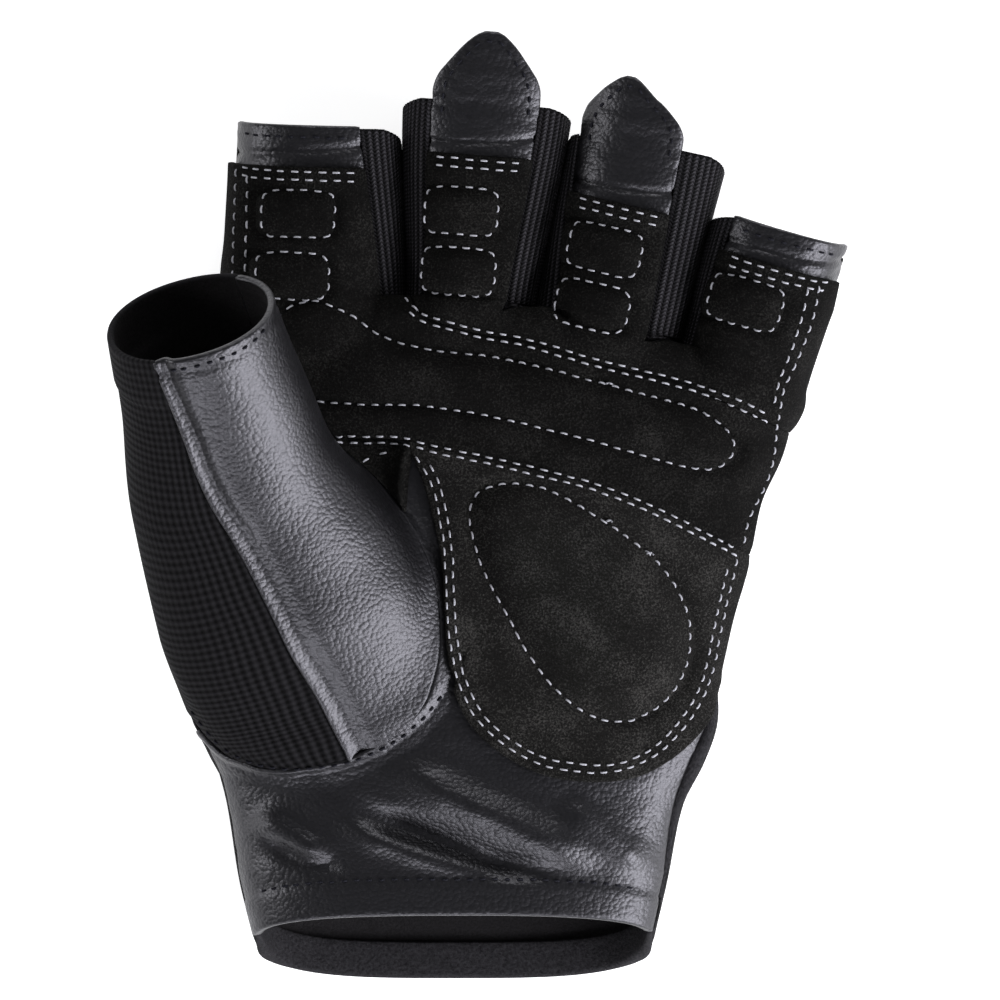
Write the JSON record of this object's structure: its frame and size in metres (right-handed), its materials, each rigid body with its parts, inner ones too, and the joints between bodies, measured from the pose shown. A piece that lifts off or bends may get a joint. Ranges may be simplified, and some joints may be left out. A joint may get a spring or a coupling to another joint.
{
  "type": "weightlifting glove",
  "caption": "Half-finger training glove for the left hand with padded suede palm, leather cuff and thumb, knit back, pull tabs and vented wrist.",
  "frame": {"origin": "centre of the bounding box, on the surface that the glove lies on", "axes": "+Z out of the palm (the glove lies on its back, palm up), +Y towards the fingers, +X towards the little finger; the thumb is on the -X side"},
  "size_m": [0.1314, 0.1724, 0.0688],
  "materials": {
    "leather": "grained black leather with a soft sheen",
    "suede": "matt charcoal synthetic suede with white stitching",
    "knit": "black ribbed stretch knit",
    "binding": "dark grey cloth binding"
  },
  "bodies": {
    "root": {"palm_leather": "leather", "index_tip": "leather", "middle_pull_tab": "leather", "ring_pull_tab": "leather", "little_tip": "leather", "thumb_leather": "leather", "finger_suede": "suede", "bar_suede": "suede", "heel_suede": "suede", "heel_pad": "suede", "bar_pad": "suede", "index_pad_upper": "suede", "index_pad_lower": "suede", "middle_pad_upper": "suede", "middle_pad_lower": "suede", "ring_pad_upper": "suede", "ring_pad_lower": "suede", "little_pad": "suede", "index_middle_gusset": "knit", "middle_ring_gusset": "knit", "ring_little_gusset": "knit", "back_knit": "knit", "thumb_knit": "knit", "palm_hem": "binding", "back_hem": "binding", "vent_binding": "binding", "closure_strap": "binding"}
  },
  "joints": []
}
